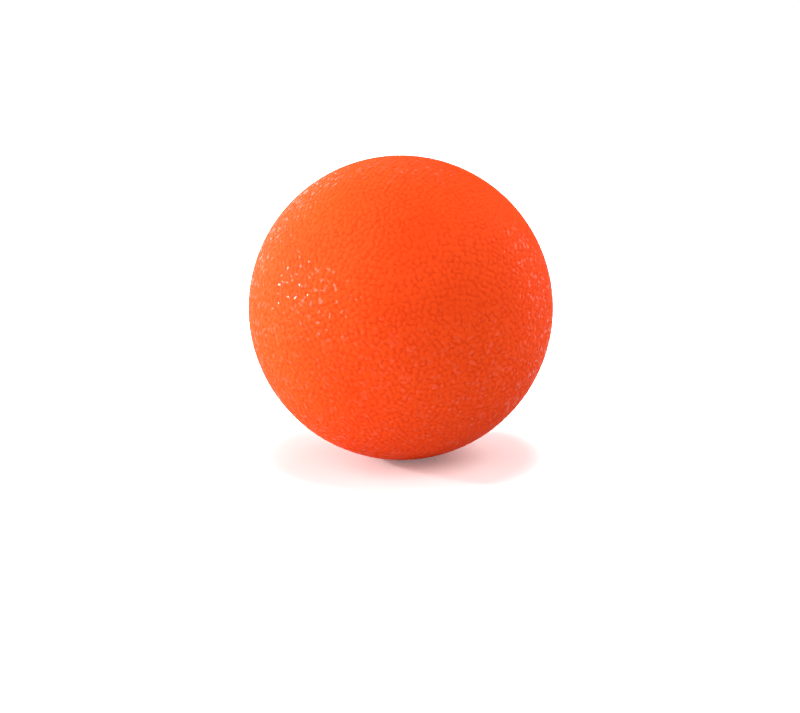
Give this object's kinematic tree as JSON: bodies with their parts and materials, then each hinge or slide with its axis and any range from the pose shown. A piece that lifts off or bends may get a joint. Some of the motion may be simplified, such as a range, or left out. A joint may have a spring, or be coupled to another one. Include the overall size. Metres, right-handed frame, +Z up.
{
  "type": "massage ball",
  "caption": "Plain round massage ball of orange moulded rubber with a fine leather-like grain: a solid core inside a cover moulded in two halves.",
  "frame": {"origin": "the point the ball rests on, straight below its centre", "axes": "+Z up through the ball's centre; the parting plane of the cover is upright and faces along Y, with the rear half on +Y and the front half on -Y"},
  "size_m": [0.063, 0.063, 0.063],
  "materials": {
    "cover_rubber": "satin",
    "core_rubber": "matte"
  },
  "bodies": {
    "root": {"core": "core_rubber", "front_cover_half": "cover_rubber", "rear_cover_half": "cover_rubber"}
  },
  "joints": []
}
